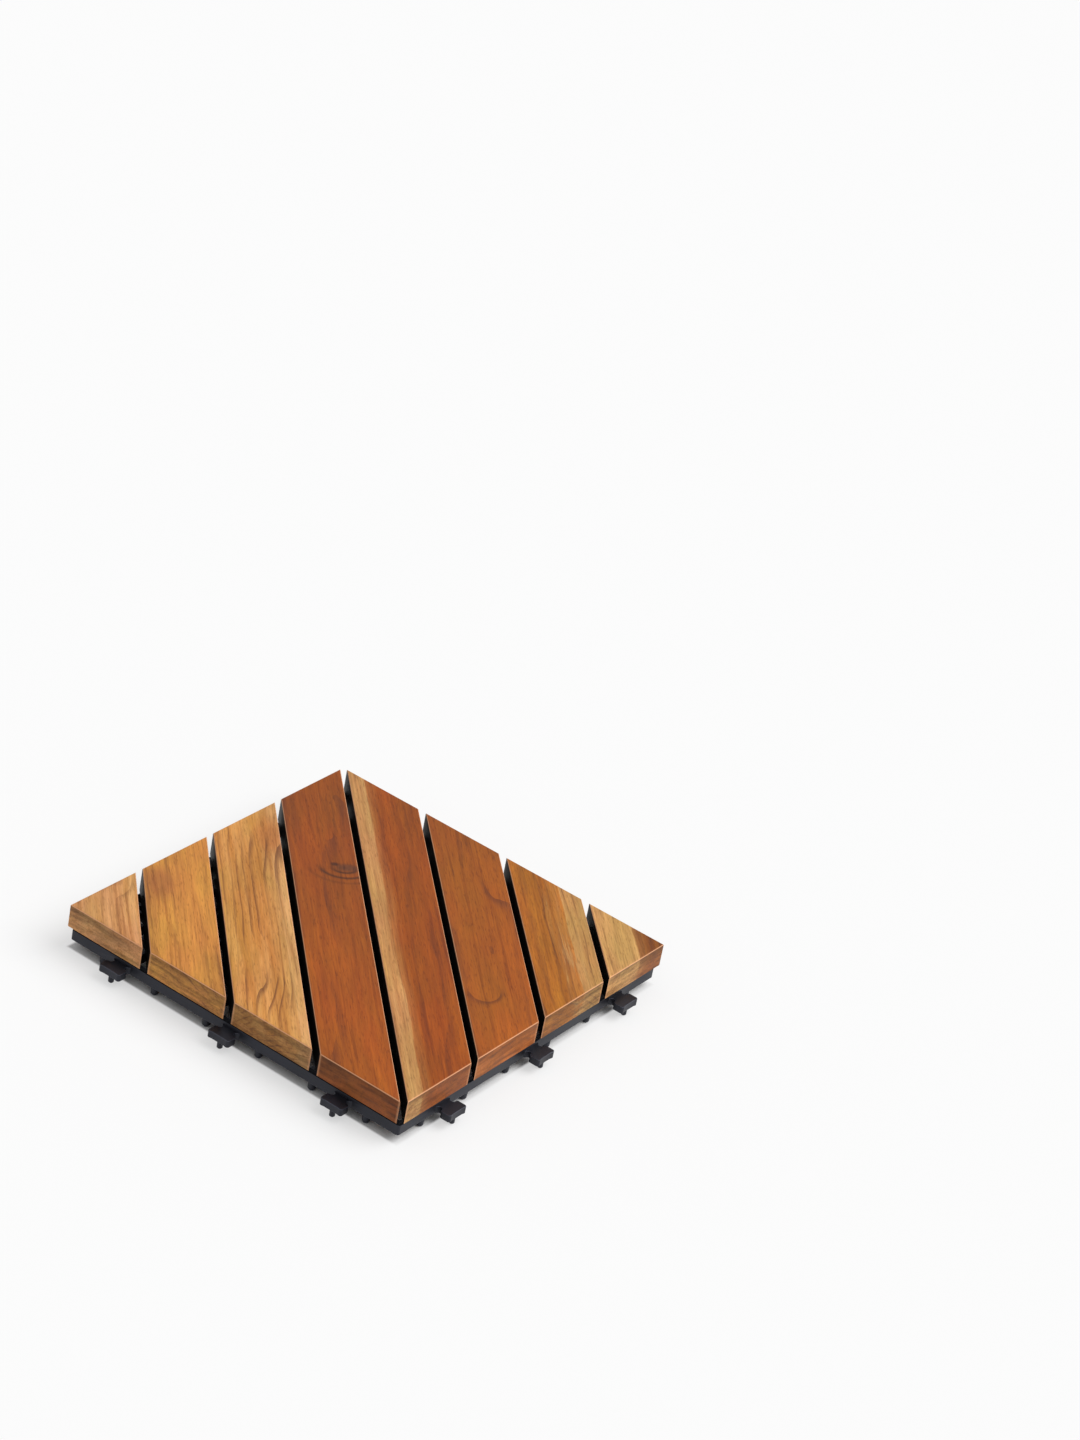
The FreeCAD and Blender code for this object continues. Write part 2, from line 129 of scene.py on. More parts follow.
def add(owner, kind, sockets=(), **settings):
    """A node with its settings. Each entry of sockets, by identifier, is a value or another node's output."""
    tree = owner.node_tree
    node = tree.nodes.new("ShaderNode" + kind)
    for name, value in settings.items():
        setattr(node, name, value)
    by_name = {socket.identifier: socket for socket in node.inputs}
    for name, value in dict(sockets).items():
        if isinstance(value, bpy.types.NodeSocket):
            tree.links.new(value, by_name[name])
        else:
            by_name[name].default_value = value
    return node


def colour_steps(node, steps):
    """Fills a colour ramp from (place, colour) pairs."""
    points = node.color_ramp.elements
    while len(points) < len(steps):
        points.new(0.5)
    for point, (place, colour) in zip(points, steps):
        point.position = place
        point.color = linear(colour)


# Polypropylene, injection moulded: nearly black, matt, with a soft grey-blue shine at grazing angles. On the
# rounded corners it is painted paler, as a painted highlight, and made smoother. The grain of the mould is
# drawn coarser than the real 0.1 mm, so that it shows. Where the plastic flowed, its tone and its gloss
# change.
POLYPROPYLENE_IOR = 1.49
POLYPROPYLENE_SHEEN = "#dfe2f2"
# The painted shade in the groove under the wood.
GROOVE_PAINTED_SHADE = "#030303"
MIXED_COLOUR = 2
MOULD_GRAIN = 0.5 * MM
MOULD_GRAIN_DEPTH = 0.02 * MM
FLOW_MARK = 26 * MM
FLOW_GLOSSIER = 0.08
FLOW_DULLER = 0.1


def moulded_polypropylene(name, colour, flow_colour, roughness):
    """The plastic of the base, with the flow marks and the grain of its mould."""
    plastic, surface = new_material(name)
    place = add(plastic, "TexCoord").outputs["Object"]
    flow = add(plastic, "TexNoise", {
        "Vector": place, "Scale": 1 / FLOW_MARK, "Detail": 3.0, "Distortion": 1.2})
    tone = add(plastic, "ValToRGB", {"Fac": flow.outputs["Fac"]})
    colour_steps(tone, [(0.35, colour), (0.75, flow_colour)])
    grain = add(plastic, "TexNoise", {"Vector": place, "Scale": 1 / MOULD_GRAIN, "Detail": 2.0})
    relief = add(plastic, "Bump", {
        "Height": grain.outputs["Fac"], "Distance": MOULD_GRAIN_DEPTH, "Strength": 1.0})
    sheen = add(plastic, "MapRange", {
        "Value": flow.outputs["Fac"], "To Min": roughness - FLOW_GLOSSIER, "To Max": roughness + FLOW_DULLER})

    # Painted shade: the groove under the wood is painted near black and dulled, fading out at its edges.
    sideways = add(plastic, "VectorMath", {"Vector": place}, operation="ABSOLUTE")
    outward = add(plastic, "SeparateXYZ", {"Vector": sideways.outputs["Vector"]})
    farthest = add(plastic, "Math", {
        "Value": outward.outputs["X"], "Value_001": outward.outputs["Y"]}, operation="MAXIMUM")
    outside = add(plastic, "MapRange", {
        "Value": farthest.outputs["Value"], "From Min": GROOVE_BACK - 0.5 * MM,
        "From Max": GROOVE_BACK - 0.1 * MM})
    high = add(plastic, "MapRange", {
        "Value": outward.outputs["Z"], "From Min": GROOVE_LEVEL - 0.3 * MM, "From Max": GROOVE_LEVEL})
    in_groove = add(plastic, "Math", {
        "Value": outside.outputs["Result"], "Value_001": high.outputs["Result"]}, operation="MULTIPLY")
    shaded = add(plastic, "Mix", {
        "Factor_Float": in_groove.outputs["Value"], "A_Color": tone.outputs["Color"],
        "B_Color": linear(GROOVE_PAINTED_SHADE)}, data_type="RGBA").outputs[MIXED_COLOUR]
    dull = add(plastic, "Mix", {
        "Factor_Float": in_groove.outputs["Value"], "A_Float": sheen.outputs["Result"], "B_Float": 1.0})
    shader = add(plastic, "BsdfPrincipled", {
        "Base Color": shaded, "Roughness": dull.outputs["Result"], "IOR": POLYPROPYLENE_IOR,
        "Specular Tint": linear(POLYPROPYLENE_SHEEN), "Normal": relief.outputs["Normal"]})
    plastic.node_tree.links.new(shader.outputs["BSDF"], surface.inputs["Surface"])
    return plastic


base.data.materials.append(moulded_polypropylene("polypropylene_moulded", "#121217", "#1e1f27", 0.46))
# The rounded edges get a paler, glossier copy of the plastic; its paler colour is a painted highlight.
base.data.materials.append(moulded_polypropylene("polypropylene_edge_highlight", "#33353f", "#434550", 0.36))
bevel.material = 1
finished_mesh(base)
base.data.shade_smooth()
base.data.set_sharp_from_angle(angle=SMOOTH_ANGLE)
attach(base, "root")
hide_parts("base_grid")

# Slats
# Eight slats sawn from boards of acacia, cut off along the tile's sides at 45 degrees, sanded with a
# slightly eased edge and oiled. The tile mixes boards: honey-coloured ones, red-brown heartwood, and
# boards with a stripe of pale sapwood. They lie 5 mm apart on the base, which is screwed to them.

SLAT_PITCH = 54.01
SLAT_TOP = 35
GRAIN_TURN = -45
# Each board's own wood, with lengths in mm and places across and along the slat, from its middle:
# light, mid: the two tones that its streaks mix.
# pith, tilt: where the middle of the trunk was, across the slat and below its top, and how many degrees it
#   dips along the slat, which arches the figure.
# ring, shade: the width of a growth ring, and how dark its line is.
# fade, end: how much darker the wood gets towards the far end, and how bright its sawn ends are.
# sapwood: its colour, where its border runs, on which side of that it lies, and how far its streaks reach.
# knot: the place and the half sizes of the rings round a knot.
# marks: for each the place, the half sizes, a stain's colour or None, and how far the rings bulge round it.
BOARDS = {
    "slat_1": dict(light="#d8a36f", mid="#c58d55", pith=(30, 70), tilt=0.8, ring=4.0, shade=0.35, end=1.0,
                   marks=[((12, 40), (8, 14), None, 6.0)]),
    "slat_2": dict(light="#d89949", mid="#c18342", pith=(-30, 60), tilt=0.5, ring=4.6, shade=0.55, end=0.95,
                   marks=[((-14, 36), (11, 20), "#a8693c", 0.0)]),
    "slat_3": dict(light="#d69e5c", mid="#c0833e", pith=(34, 60), tilt=0.9, ring=3.6, shade=0.7, end=0.68,
                   sapwood=("#deab74", 17, 1, 16),
                   marks=[((16, 108), (9, 26), "#b8763c", 3.0), ((2, -68), (9, 26), None, 8.0)]),
    "slat_4": dict(light="#a35616", mid="#944a12", pith=(12, 80), tilt=1.0, ring=8.0, shade=0.5, fade=0.14,
                   end=0.68, knot=((14, 72), (13, 10)),
                   marks=[((16, 72), (9, 5), "#643c28", 0.0), ((7, 76), (3, 2.5), "#3c1c12", 0.0)]),
    "slat_5": dict(light="#a55511", mid="#93470b", pith=(26, 90), tilt=0.8, ring=4.4, shade=0.3, fade=0.08,
                   sapwood=("#cd9f66", -13, -1, 9)),
    "slat_6": dict(light="#aa5e18", mid="#9d5517", pith=(-2, 40), tilt=-0.8, ring=9.0, shade=0.55, fade=0.14,
                   end=0.98, marks=[((-5, -72), (8, 13), None, 7.0), ((9, 66), (8, 26), None, 5.0)]),
    "slat_7": dict(light="#bb7424", mid="#a5611b", pith=(-40, 60), tilt=0.6, ring=3.6, shade=0.5,
                   sapwood=("#c69f64", 6, 1, 44)),
    "slat_8": dict(light="#95561c", mid="#804415", pith=(20, 50), tilt=0.8, ring=4.5, shade=0.3, end=0.98,
                   sapwood=("#dcae6f", 2, -1, 12)),
}
# Acacia, sawn, sanded and oiled: streaks that wander, thin dark ring lines that come and go, redder and
# yellower clouds, long vessel lines, short open pores, and a satin surface that is a little glossier on the
# dense rings. The fibres and pores are drawn coarser than the real 0.2 mm, so that they show. Lengths and
# widths are in mm, but KNOT_RING is in the knot's half sizes.
LATEWOOD = "#7c5a42"
VESSEL = "#a98a70"
PORE = "#8a6a52"
RED_CLOUD = "#fff0ea"
YELLOW_CLOUD = "#f4f4e0"
KNOT_LINE = "#4a2610"
KNOT_RING = 0.7
# The eased edges are painted paler as a highlight, and the long walls in the gaps near black as shade.
ARRIS_HIGHLIGHT = "#eeb084"
GAP_WALL_PAINTED_SHADE = "#0d0806"
OILED_WOOD_IOR = 1.48
OILED_WOOD_SPECULAR = 0.2
OILED_WOOD_ROUGHNESS = 0.5
HALF_LENGTH = 150
BOARD_SEED = 7.31
CLOUD_LENGTH = 30
BLOTCH_LENGTH = 20
UNEVEN_RINGS = 9.0
STREAK_WIDTH = 6
VESSEL_WIDTH = 2.4
FIBRE_WIDTH = 1.1
PORE_WIDTH = 0.9
BEND_LENGTH = 60
BEND = 8
BORDER_SOFTNESS = 1.0
BORDER_GLOW = 9.0
END_GREY = "#8f7257"
END_GREYING = 0.22
END_STREAK_WIDTH = 28
END_STREAK_HEIGHT = 2.6
BOARD_HALF_WIDTH = 24.5
CORNER_HIGHLIGHT_WIDTH = 1.3
FIBRE_DEPTH = 0.035 * MM
# How much less a pattern changes along the board than across it.
CLOUD_STRETCH = 0.3
STREAK_STRETCH = 0.05
VESSEL_STRETCH = 0.025
PORE_STRETCH = 0.14
RING_STRETCH = 0.07
# The width of a wave texture's ring at scale 1.
WAVE_TEXTURE_RING = 2 * math.pi / 20


def dress(obj, material):
    """Gives an object one material."""
    obj.data.materials.clear()
    obj.data.materials.append(material)


def spot(wood, place, centre, half_sizes):
    """How many of a spot's half sizes a place is from its centre, in all and along the board."""
    (across, along), (half_width, half_length) = centre, half_sizes
    away = add(wood, "VectorMath", {
        "Vector": place, "Vector_001": (1 / half_width, 1 / half_length, 0),
        "Vector_002": (-across / half_width, -along / half_length, 0)}, operation="MULTIPLY_ADD")
    reach = add(wood, "VectorMath", {"Vector": away.outputs["Vector"]}, operation="LENGTH")
    return reach.outputs["Value"], add(wood, "SeparateXYZ", {"Vector": away.outputs["Vector"]}).outputs["Y"]


def oiled_acacia(name, number, light, mid, pith, tilt, ring, shade, fade=0.0, end=0.8, sapwood=None,
                 knot=None, marks=()):
    """The wood of one board: its own rings, streaks and colours, in mm across, along and up the slat."""
    wood, surface = new_material("acacia_oiled_" + name)
    seed = number * BOARD_SEED
    centre = (number - (len(BOARDS) + 1) / 2) * SLAT_PITCH
    grain = add(wood, "Mapping", {
        "Vector": add(wood, "TexCoord").outputs["Object"], "Location": (-centre, 0, -SLAT_TOP),
        "Rotation": (0, 0, math.radians(GRAIN_TURN)), "Scale": (1 / MM, 1 / MM, 1 / MM)}).outputs["Vector"]

    # The grain wanders from side to side along the board.
    slow = add(wood, "VectorMath", {
        "Vector": grain, "Vector_001": (1, CLOUD_STRETCH, 1)}, operation="MULTIPLY")
    wander = add(wood, "TexNoise", {"Vector": slow.outputs["Vector"], "W": seed, "Scale": 1 / BEND_LENGTH,
                                    "Detail": 2.0}, noise_dimensions="4D")
    shift = add(wood, "VectorMath", {"Vector": wander.outputs["Color"], "Vector_001": (BEND, 0, BEND),
                                     "Vector_002": (-BEND / 2, 0, -BEND / 2)}, operation="MULTIPLY_ADD")
    bent = add(wood, "VectorMath", {"Vector": grain, "Vector_001": shift.outputs["Vector"]})

    # Streaks, vessel lines, fibres and pores all run along the board. Patterns at other places along W have
    # nothing to do with each other.
    drawn_out = add(wood, "VectorMath", {
        "Vector": bent.outputs["Vector"], "Vector_001": (1, STREAK_STRETCH, 1)}, operation="MULTIPLY")
    streak = add(wood, "TexNoise", {
        "Vector": drawn_out.outputs["Vector"], "W": seed, "Scale": 1 / STREAK_WIDTH, "Detail": 5.0,
        "Roughness": 0.62}, noise_dimensions="4D")
    fibre = add(wood, "TexNoise", {"Vector": drawn_out.outputs["Vector"], "W": seed, "Scale": 1 / FIBRE_WIDTH,
                                   "Detail": 3.0, "Roughness": 0.7}, noise_dimensions="4D")
    long_lines = add(wood, "VectorMath", {
        "Vector": bent.outputs["Vector"], "Vector_001": (1, VESSEL_STRETCH, 1)}, operation="MULTIPLY")
    vessels = add(wood, "TexNoise", {"Vector": long_lines.outputs["Vector"], "W": seed + 3,
                                     "Scale": 1 / VESSEL_WIDTH, "Detail": 2.0}, noise_dimensions="4D")
    vessel = add(wood, "MapRange", {"Value": vessels.outputs["Fac"], "From Min": 0.55, "From Max": 0.68,
                                    "To Max": 0.4})
    dashes = add(wood, "VectorMath", {
        "Vector": bent.outputs["Vector"], "Vector_001": (1, PORE_STRETCH, 1)}, operation="MULTIPLY")
    pores = add(wood, "TexNoise", {"Vector": dashes.outputs["Vector"], "W": seed, "Scale": 1 / PORE_WIDTH,
                                   "Detail": 1.0}, noise_dimensions="4D")
    pore = add(wood, "MapRange", {"Value": pores.outputs["Fac"], "From Min": 0.56, "From Max": 0.7,
                                  "To Max": 0.35})

    # Growth rings lie round the pith, which runs along the board under its face. They are unevenly wide, and
    # they bulge round knots and curls, where their lines are clear on the near side only.
    clouds = add(wood, "TexNoise", {
        "Vector": slow.outputs["Vector"], "W": seed + 5, "Scale": 1 / CLOUD_LENGTH,
        "Detail": 2.0}, noise_dimensions="4D")
    phase = add(wood, "Math", {"Value": clouds.outputs["Fac"], "Value_001": UNEVEN_RINGS},
                operation="MULTIPLY").outputs["Value"]
    stains, clear_of_marks, drawn_marks = [], 1.0, 0.0
    for mark_centre, mark_sizes, stain_colour, bulge in marks:
        reach, along_mark = spot(wood, bent.outputs["Vector"], mark_centre, mark_sizes)
        swelling = add(wood, "MapRange", {
            "Value": reach, "From Min": 2.2, "From Max": 0.2, "To Max": bulge},
            interpolation_type="SMOOTHSTEP")
        phase = add(wood, "Math", {"Value": phase, "Value_001": swelling.outputs["Result"]}).outputs["Value"]
        if bulge:
            away = add(wood, "MapRange", {"Value": reach, "From Min": 1.6, "From Max": 2.4})
            clear_of_marks = add(wood, "Math", {
                "Value": away.outputs["Result"], "Value_001": clear_of_marks},
                operation="MULTIPLY").outputs["Value"]
            beside = add(wood, "MapRange", {"Value": reach, "From Min": 2.4, "From Max": 1.6})
            near_half = add(wood, "MapRange", {"Value": along_mark, "From Min": 0.3, "From Max": -0.5})
            drawn = add(wood, "Math", {
                "Value": beside.outputs["Result"], "Value_001": near_half.outputs["Result"]},
                operation="MULTIPLY")
            drawn_marks = add(wood, "Math", {
                "Value": drawn.outputs["Value"], "Value_001": drawn_marks},
                operation="MAXIMUM").outputs["Value"]
        if stain_colour:
            ragged = add(wood, "Math", {
                "Value": streak.outputs["Fac"], "Value_001": 0.7, "Value_002": reach},
                operation="MULTIPLY_ADD")
            inside = add(wood, "MapRange", {
                "Value": ragged.outputs["Value"], "From Min": 1.8, "From Max": 0.8,
                "To Max": 0.8}, interpolation_type="SMOOTHSTEP")
            stains.append((inside.outputs["Result"], stain_colour))
    if knot:
        # Fine rings lie round a knot and are clearest on its near side.
        reach, along_knot = spot(wood, bent.outputs["Vector"], *knot)
        ripple = add(wood, "Math", {"Value": reach, "Value_001": KNOT_RING / 2}, operation="PINGPONG")
        line = add(wood, "MapRange", {
            "Value": ripple.outputs["Value"], "From Min": 0.22, "From Max": 0.02}).outputs["Result"]
        fading = add(wood, "MapRange", {
            "Value": reach, "From Min": 2.6, "From Max": 1.2, "To Max": 0.9}, interpolation_type="SMOOTHSTEP")
        near_half = add(wood, "MapRange", {"Value": along_knot, "From Min": 0.4, "From Max": -0.6})
        for mask in (fading, near_half):
            line = add(wood, "Math", {
                "Value": line, "Value_001": mask.outputs["Result"]}, operation="MULTIPLY").outputs["Value"]
        stains.append((line, KNOT_LINE))
    around_pith = add(wood, "Mapping", {"Vector": bent.outputs["Vector"], "Location": (-pith[0], 0, pith[1]),
                                        "Rotation": (math.radians(tilt), 0, 0)})
    stretched = add(wood, "VectorMath", {
        "Vector": around_pith.outputs["Vector"], "Vector_001": (1, RING_STRETCH, 1)}, operation="MULTIPLY")
    rings = add(wood, "TexWave", {
        "Vector": stretched.outputs["Vector"], "Scale": WAVE_TEXTURE_RING / ring, "Distortion": 4.0,
        "Detail": 3.0, "Detail Scale": 0.7, "Phase Offset": phase},
        wave_type="RINGS", rings_direction="Y", wave_profile="SAW")
    dark_line = add(wood, "MapRange", {"Value": rings.outputs["Fac"], "From Min": 0.6, "From Max": 0.99},
                    interpolation_type="SMOOTHERSTEP")
    coming_and_going = add(wood, "MapRange", {
        "Value": streak.outputs["Fac"], "From Min": 0.4, "From Max": 0.62})
    showing = add(wood, "Math", {"Value": coming_and_going.outputs["Result"], "Value_001": clear_of_marks,
                                 "Value_002": drawn_marks}, operation="MULTIPLY_ADD")
    ring_depth = dark_line.outputs["Result"]
    for strength in (showing.outputs["Value"], shade):
        ring_depth = add(wood, "Math", {
            "Value": ring_depth, "Value_001": strength}, operation="MULTIPLY").outputs["Value"]

    # Light and mid wood alternate in streaks.
    streaky = add(wood, "MapRange", {"Value": streak.outputs["Fac"], "From Min": 0.34, "From Max": 0.66},
                  interpolation_type="SMOOTHSTEP")
    colour = add(wood, "Mix", {"Factor_Float": streaky.outputs["Result"], "A_Color": linear(light),
                               "B_Color": linear(mid)}, data_type="RGBA").outputs[MIXED_COLOUR]
    place = add(wood, "SeparateXYZ", {"Vector": bent.outputs["Vector"]})
    if sapwood:
        # The sapwood ends in streaks, and beside it the heartwood is paler for a finger's width. The darker
        # streaks of the board show through it.
        sapwood_colour, border, side, feather = sapwood
        streaked = add(wood, "Math", {"Value": streak.outputs["Fac"], "Value_001": feather,
                                      "Value_002": -feather / 2}, operation="MULTIPLY_ADD")
        across = add(wood, "Math", {"Value": place.outputs["X"], "Value_001": streaked.outputs["Value"]})
        crisp = add(wood, "MapRange", {
            "Value": across.outputs["Value"], "From Min": border - side * BORDER_SOFTNESS,
            "From Max": border + side * BORDER_SOFTNESS, "To Max": 0.65}, interpolation_type="SMOOTHSTEP")
        glow = add(wood, "MapRange", {
            "Value": across.outputs["Value"], "From Min": border - side * BORDER_GLOW,
            "From Max": border + side * BORDER_SOFTNESS, "To Max": 0.35}, interpolation_type="SMOOTHSTEP")
        stripe = add(wood, "Math", {"Value": crisp.outputs["Result"], "Value_001": glow.outputs["Result"]})
        covering = add(wood, "MapRange", {
            "Value": streak.outputs["Fac"], "From Min": 0.36, "From Max": 0.6, "To Min": 1.0, "To Max": 0.65})
        stripe = add(wood, "Math", {
            "Value": stripe.outputs["Value"], "Value_001": covering.outputs["Result"]}, operation="MULTIPLY")
        colour = add(wood, "Mix", {"Factor_Float": stripe.outputs["Value"], "A_Color": colour,
                                   "B_Color": linear(sapwood_colour)}, data_type="RGBA").outputs[MIXED_COLOUR]
    for depth, tint in stains:
        colour = add(wood, "Mix", {"Factor_Float": depth, "A_Color": colour, "B_Color": linear(tint)},
                     data_type="RGBA").outputs[MIXED_COLOUR]
    for depth, tint in ((ring_depth, LATEWOOD), (vessel.outputs["Result"], VESSEL),
                        (pore.outputs["Result"], PORE)):
        colour = add(wood, "Mix", {"Factor_Float": depth, "A_Color": colour, "B_Color": linear(tint)},
                     data_type="RGBA", blend_type="MULTIPLY").outputs[MIXED_COLOUR]

    # Redder and yellower clouds, paler and darker ones, and fibres lie over all of it.
    blotches = add(wood, "TexNoise", {
        "Vector": slow.outputs["Vector"], "W": seed + 9, "Scale": 1 / BLOTCH_LENGTH,
        "Detail": 3.0}, noise_dimensions="4D")
    blotch = add(wood, "MapRange", {"Value": blotches.outputs["Fac"], "From Min": 0.36, "From Max": 0.64})
    cast = add(wood, "Mix", {"Factor_Float": blotch.outputs["Result"], "A_Color": linear(RED_CLOUD),
                             "B_Color": linear(YELLOW_CLOUD)}, data_type="RGBA").outputs[MIXED_COLOUR]
    colour = add(wood, "VectorMath", {
        "Vector": colour, "Vector_001": cast}, operation="MULTIPLY").outputs["Vector"]
    cloud = add(wood, "MapRange", {"Value": clouds.outputs["Fac"], "From Min": 0.3, "From Max": 0.7,
                                   "To Min": 0.88, "To Max": 1.12})
    thread = add(wood, "MapRange", {"Value": fibre.outputs["Fac"], "From Min": 0.3, "From Max": 0.7,
                                    "To Min": 0.8, "To Max": 1.18})
    darker_end = add(wood, "MapRange", {"Value": place.outputs["Y"], "From Min": -HALF_LENGTH,
                                        "From Max": HALF_LENGTH, "To Min": 1 + fade, "To Max": 1 - fade})
    for strength in (cloud, thread, darker_end):
        colour = add(wood, "VectorMath", {"Vector": colour, "Scale": strength.outputs["Result"]},
                     operation="SCALE").outputs["Vector"]

    # Sawn ends drink more oil and look darker. The eased edges, and the upright corners of the sawn ends, are
    # painted paler as a painted highlight; the long walls in the gaps are painted near black as painted
    # shade.
    facing = add(wood, "NewGeometry").outputs["Normal"]
    sides = add(wood, "VectorMath", {"Vector": facing}, operation="ABSOLUTE")
    side_parts = add(wood, "SeparateXYZ", {"Vector": sides.outputs["Vector"]})
    square_on = add(wood, "Math", {"Value": side_parts.outputs["X"], "Value_001": side_parts.outputs["Y"]},
                    operation="MAXIMUM")
    sawn_end = add(wood, "MapRange", {
        "Value": square_on.outputs["Value"], "From Min": 0.78, "From Max": 0.95}).outputs["Result"]
    towards_gap = add(wood, "VectorMath", {
        "Vector": facing, "Vector_001": (math.sqrt(0.5), math.sqrt(0.5), 0)}, operation="DOT_PRODUCT")
    long_wall = add(wood, "Math", {"Value": towards_gap.outputs["Value"]}, operation="ABSOLUTE")
    up = add(wood, "SeparateXYZ", {"Vector": facing})
    height = add(wood, "SeparateXYZ", {"Vector": grain})
    below_arris = add(wood, "MapRange", {
        "Value": height.outputs["Z"], "From Min": -1.0, "From Max": -9.0, "To Min": 0.75 * end,
        "To Max": end}, interpolation_type="SMOOTHSTEP")
    cut_across = add(wood, "VectorMath", {
        "Vector": bent.outputs["Vector"],
        "Vector_001": (1 / END_STREAK_WIDTH, 1 / END_STREAK_WIDTH, 1 / END_STREAK_HEIGHT)},
        operation="MULTIPLY")
    end_streaks = add(wood, "TexNoise", {"Vector": cut_across.outputs["Vector"], "W": seed, "Scale": 1.0,
                                         "Detail": 3.0}, noise_dimensions="4D")
    end_streak = add(wood, "MapRange", {
        "Value": end_streaks.outputs["Fac"], "From Min": 0.35, "From Max": 0.65, "To Min": 0.7,
        "To Max": 1.3})
    sawn_tone = add(wood, "Math", {"Value": below_arris.outputs["Result"],
                                   "Value_001": end_streak.outputs["Result"]}, operation="MULTIPLY")
    end_tone = add(wood, "Mix", {"Factor_Float": sawn_end, "A_Float": 1.0,
                                 "B_Float": sawn_tone.outputs["Value"]})
    greyed = add(wood, "Math", {"Value": sawn_end, "Value_001": END_GREYING},
                 operation="MULTIPLY")
    colour = add(wood, "Mix", {"Factor_Float": greyed.outputs["Value"], "A_Color": colour,
                               "B_Color": linear(END_GREY)}, data_type="RGBA").outputs[MIXED_COLOUR]
    colour = add(wood, "VectorMath", {"Vector": colour, "Scale": end_tone.outputs["Result"]},
                 operation="SCALE").outputs["Vector"]
    # Painted highlight: the eased edges, most along the gaps, and the upright corners of the sawn ends.
    leaving_top = add(wood, "MapRange", {"Value": up.outputs["Z"], "From Min": 0.98, "From Max": 0.85})
    above_side = add(wood, "MapRange", {"Value": up.outputs["Z"], "From Min": 0.1, "From Max": 0.4})
    highlight_share = add(wood, "MapRange", {
        "Value": long_wall.outputs["Value"], "From Min": 0.3, "From Max": 0.65, "To Min": 0.0, "To Max": 0.9})
    arris = leaving_top.outputs["Result"]
    for mask in (above_side, highlight_share):
        arris = add(wood, "Math", {
            "Value": arris, "Value_001": mask.outputs["Result"]}, operation="MULTIPLY").outputs["Value"]
    from_middle = add(wood, "Math", {"Value": height.outputs["X"]}, operation="ABSOLUTE")
    at_corner = add(wood, "MapRange", {
        "Value": from_middle.outputs["Value"], "From Min": BOARD_HALF_WIDTH - CORNER_HIGHLIGHT_WIDTH,
        "From Max": BOARD_HALF_WIDTH, "To Max": 0.5})
    corner_highlight = add(wood, "Math", {
        "Value": at_corner.outputs["Result"], "Value_001": sawn_end}, operation="MULTIPLY")
    painted_highlight = add(wood, "Math", {
        "Value": arris, "Value_001": corner_highlight.outputs["Value"]}, operation="MAXIMUM")
    # Painted shade: the long walls in the gaps are painted near black.
    gap_wall_shade = add(wood, "MapRange", {"Value": long_wall.outputs["Value"], "From Min": 0.76, "From Max": 0.96})
    for depth, tint in ((painted_highlight.outputs["Value"], ARRIS_HIGHLIGHT), (gap_wall_shade.outputs["Result"], GAP_WALL_PAINTED_SHADE)):
        colour = add(wood, "Mix", {"Factor_Float": depth, "A_Color": colour, "B_Color": linear(tint)},
                     data_type="RGBA").outputs[MIXED_COLOUR]

    raised = add(wood, "Math", {"Value": pore.outputs["Result"], "Value_001": -1.2,
                                "Value_002": fibre.outputs["Fac"]}, operation="MULTIPLY_ADD")
    relief = add(wood, "Bump", {"Height": raised.outputs["Value"], "Distance": FIBRE_DEPTH, "Strength": 1.0})
    roughness = add(wood, "MapRange", {
        "Value": ring_depth, "To Min": OILED_WOOD_ROUGHNESS + 0.05, "To Max": OILED_WOOD_ROUGHNESS - 0.1})
    shader = add(wood, "BsdfPrincipled", {
        "Base Color": colour, "Roughness": roughness.outputs["Result"], "IOR": OILED_WOOD_IOR,
        "Specular IOR Level": OILED_WOOD_SPECULAR, "Normal": relief.outputs["Normal"]})
    wood.node_tree.links.new(shader.outputs["BSDF"], surface.inputs["Surface"])
    return wood


for number, (name, board) in enumerate(BOARDS.items(), start=1):
    dress(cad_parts[name], oiled_acacia(name, number, **board))

# Screws
# Twenty pan-head wood screws of zinc-plated steel, cold-headed with a cross recess, with a rolled thread.
# They are driven up through the base's bosses into the slats, so that only their heads show, from below.

# Places, in mm: the screws stand on lines along the middle of each slat, this far from the slat's ends.
HALF_DIAGONAL = 150 * math.sqrt(2)
END_DISTANCE = 40
CORNER_END_DISTANCE = 22
CORNER_LINE = 180.4
SEAT_LEVEL = 10
# Sizes of one screw, in mm. The recess is a cross, given by the half length and half width of its arms.
HEAD_RADIUS = 3.5
HEAD_HEIGHT = 2.3
SHANK_RADIUS = 1.5
THREAD_RADIUS = 1.75
CORE_RADIUS = 1.15
PLAIN_SHANK = 5.0
SCREW_LENGTH = 19.0
POINT_LENGTH = 3.5
THREAD_PITCH = 1.6
THREAD_FLANK = 0.38
THREAD_SUNK = 0.85
RECESS_TOP = (1.9, 0.45)
RECESS_FOOT = (0.95, 0.3)
RECESS_DEPTH = 1.3
TURNED_SIDES = 36
THREAD_SIDES = 20
DRIVER_STOP = math.radians(137.5)


def ring(mesh, radius, height, sides):
    """A ring of vertices, or one vertex where the radius is nothing."""
    if radius == 0:
        return [mesh.verts.new((0, 0, height))] * sides
    turns = [2 * math.pi * at / sides for at in range(sides)]
    return [mesh.verts.new((radius * math.cos(turn), radius * math.sin(turn), height)) for turn in turns]


def cross(mesh, half_length, half_width, height):
    """The twelve corners of a cross."""
    arm = [(half_length, -half_width), (half_length, half_width), (half_width, half_width)]
    corners = [Matrix.Rotation(math.pi / 2 * quarter, 2) @ Vector(corner)
               for quarter in range(4) for corner in arm]
    return [mesh.verts.new((x, y, height)) for x, y in corners]


def skin(mesh, lower, upper):
    """The faces between two loops of as many vertices."""
    for at in range(len(lower)):
        mesh.faces.new(dict.fromkeys((lower[at - 1], lower[at], upper[at], upper[at - 1])))


